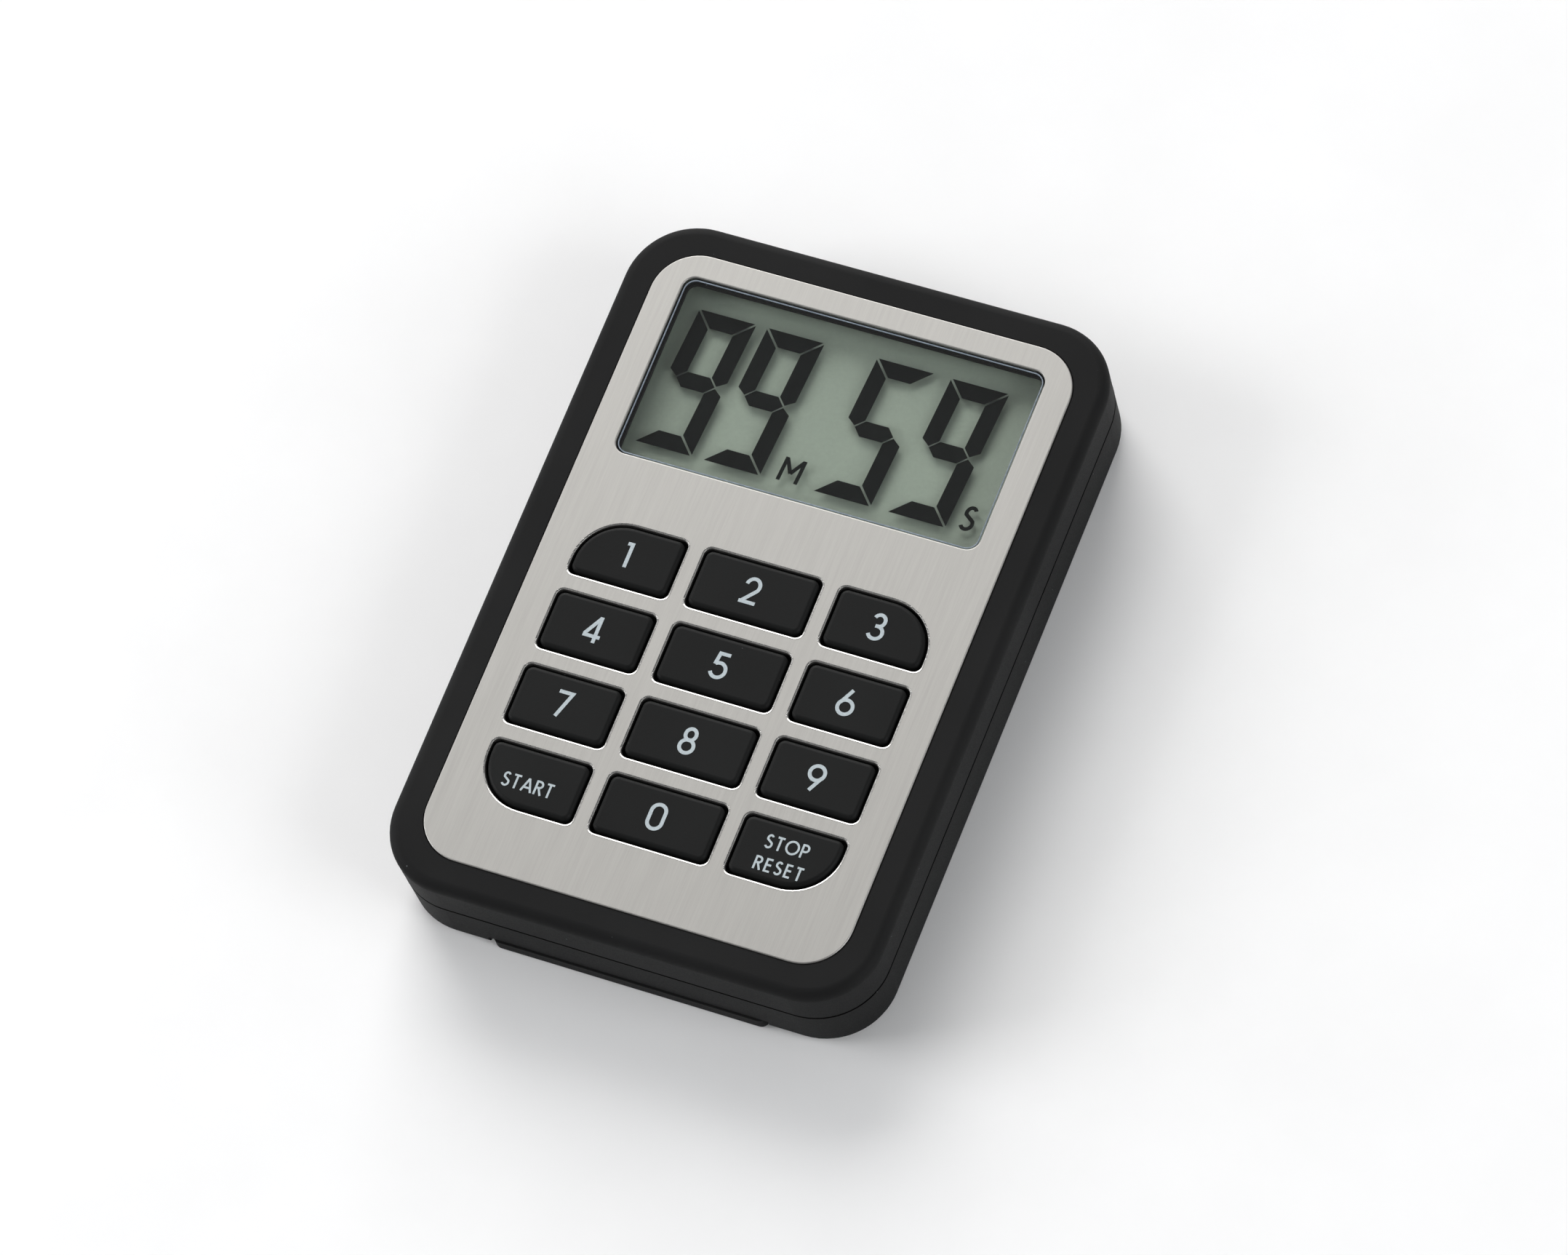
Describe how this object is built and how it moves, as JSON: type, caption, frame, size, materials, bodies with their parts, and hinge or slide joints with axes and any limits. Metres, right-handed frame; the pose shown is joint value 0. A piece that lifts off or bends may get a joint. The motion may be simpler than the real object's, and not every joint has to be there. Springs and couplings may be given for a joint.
{
  "type": "kitchen timer",
  "caption": "Slim digital keypad kitchen timer: black two-shell case, brushed steel face, large display window, number keys, fold-out stand and magnetic back.",
  "frame": {"origin": "middle of the rest plane under the case: the closed stand and the magnet pad lie in z = 0", "axes": "+Z out of the face through the keys, +Y towards the display end, +X to the right of the face"},
  "size_m": [0.062, 0.0902, 0.0144],
  "materials": {
    "soft_touch_case": "soft-touch matt black",
    "key_plastic": "soft matt black",
    "brushed_plate": "fine brushed along the length",
    "glue_sheet": "matt",
    "clear_lens": "polished",
    "grey_silicone": "matt",
    "carbon_pill": "matt",
    "display_glass": "polished",
    "polariser_film": "anti-glare",
    "display_reflector": "satin",
    "white_frame": "satin",
    "zebra_rubber": "matt",
    "green_laminate": "solder mask",
    "black_epoxy": "semi-gloss",
    "crystal_can": "bright",
    "copper_winding": "enamelled",
    "chip_ceramic": "satin",
    "screw_steel": "zinc, bright",
    "cell_steel": "satin nickel",
    "contact_spring": "nickelled",
    "buzzer_brass": "satin",
    "buzzer_ceramic": "silvered",
    "red_insulation": "satin",
    "black_insulation": "satin",
    "magnet_ferrite": "matt grey-black"
  },
  "bodies": {
    "case": {"board_screws": "screw_steel", "buzzer_ceramic": "buzzer_ceramic", "buzzer_coil": "copper_winding", "buzzer_plate": "buzzer_brass", "buzzer_wire_black": "black_insulation", "buzzer_wire_red": "red_insulation", "case_screws": "screw_steel", "chip_blob": "black_epoxy", "circuit_board": "green_laminate", "coin_cell": "cell_steel", "contact_minus": "contact_spring", "contact_pills": "carbon_pill", "contact_plus": "contact_spring", "face_plate": "brushed_plate", "front_housing": "soft_touch_case", "keypad_mat": "grey_silicone", "lcd_front_glass": "display_glass", "lcd_front_polariser": "polariser_film", "lcd_holder": "white_frame", "lcd_rear_glass": "display_glass", "lcd_reflector": "display_reflector", "magnets": "magnet_ferrite", "plate_adhesive": "glue_sheet", "quartz_crystal": "crystal_can", "rear_housing": "soft_touch_case", "small_components": "chip_ceramic", "window_lens": "clear_lens", "zebra_connector": "zebra_rubber"},
    "key_1": {"key_1": "key_plastic"},
    "key_2": {"key_2": "key_plastic"},
    "key_3": {"key_3": "key_plastic"},
    "key_4": {"key_4": "key_plastic"},
    "key_5": {"key_5": "key_plastic"},
    "key_6": {"key_6": "key_plastic"},
    "key_7": {"key_7": "key_plastic"},
    "key_8": {"key_8": "key_plastic"},
    "key_9": {"key_9": "key_plastic"},
    "key_start": {"key_start": "key_plastic"},
    "key_0": {"key_0": "key_plastic"},
    "key_stop_reset": {"key_stop_reset": "key_plastic"},
    "stand": {"stand": "soft_touch_case"},
    "battery_door": {"battery_door": "soft_touch_case"}
  },
  "joints": [
    {"name": "key_1_press", "type": "slide", "parent": "case", "child": "key_1", "axis": [0, 0, -1], "range_m": [0, 0.0008], "stiffness_N_per_m": 600, "springref_m": -0.001, "deforming": ["keypad_mat"]},
    {"name": "key_2_press", "type": "slide", "parent": "case", "child": "key_2", "axis": [0, 0, -1], "range_m": [0, 0.0008], "stiffness_N_per_m": 600, "springref_m": -0.001, "deforming": ["keypad_mat"]},
    {"name": "key_3_press", "type": "slide", "parent": "case", "child": "key_3", "axis": [0, 0, -1], "range_m": [0, 0.0008], "stiffness_N_per_m": 600, "springref_m": -0.001, "deforming": ["keypad_mat"]},
    {"name": "key_4_press", "type": "slide", "parent": "case", "child": "key_4", "axis": [0, 0, -1], "range_m": [0, 0.0008], "stiffness_N_per_m": 600, "springref_m": -0.001, "deforming": ["keypad_mat"]},
    {"name": "key_5_press", "type": "slide", "parent": "case", "child": "key_5", "axis": [0, 0, -1], "range_m": [0, 0.0008], "stiffness_N_per_m": 600, "springref_m": -0.001, "deforming": ["keypad_mat"]},
    {"name": "key_6_press", "type": "slide", "parent": "case", "child": "key_6", "axis": [0, 0, -1], "range_m": [0, 0.0008], "stiffness_N_per_m": 600, "springref_m": -0.001, "deforming": ["keypad_mat"]},
    {"name": "key_7_press", "type": "slide", "parent": "case", "child": "key_7", "axis": [0, 0, -1], "range_m": [0, 0.0008], "stiffness_N_per_m": 600, "springref_m": -0.001, "deforming": ["keypad_mat"]},
    {"name": "key_8_press", "type": "slide", "parent": "case", "child": "key_8", "axis": [0, 0, -1], "range_m": [0, 0.0008], "stiffness_N_per_m": 600, "springref_m": -0.001, "deforming": ["keypad_mat"]},
    {"name": "key_9_press", "type": "slide", "parent": "case", "child": "key_9", "axis": [0, 0, -1], "range_m": [0, 0.0008], "stiffness_N_per_m": 600, "springref_m": -0.001, "deforming": ["keypad_mat"]},
    {"name": "key_start_press", "type": "slide", "parent": "case", "child": "key_start", "axis": [0, 0, -1], "range_m": [0, 0.0008], "stiffness_N_per_m": 600, "springref_m": -0.001, "deforming": ["keypad_mat"]},
    {"name": "key_0_press", "type": "slide", "parent": "case", "child": "key_0", "axis": [0, 0, -1], "range_m": [0, 0.0008], "stiffness_N_per_m": 600, "springref_m": -0.001, "deforming": ["keypad_mat"]},
    {"name": "key_stop_reset_press", "type": "slide", "parent": "case", "child": "key_stop_reset", "axis": [0, 0, -1], "range_m": [0, 0.0008], "stiffness_N_per_m": 600, "springref_m": -0.001, "deforming": ["keypad_mat"]},
    {"name": "stand_hinge", "type": "hinge", "parent": "case", "child": "stand", "pos_m": [0, -0.0081, 0.0024], "axis": [1, 0, 0], "range_deg": [0, 62]},
    {"name": "battery_door_turn", "type": "hinge", "parent": "case", "child": "battery_door", "pos_m": [-0.0123, 0.0195, 0.0006], "axis": [0, 0, 1], "range_deg": [0, 40]}
  ]
}
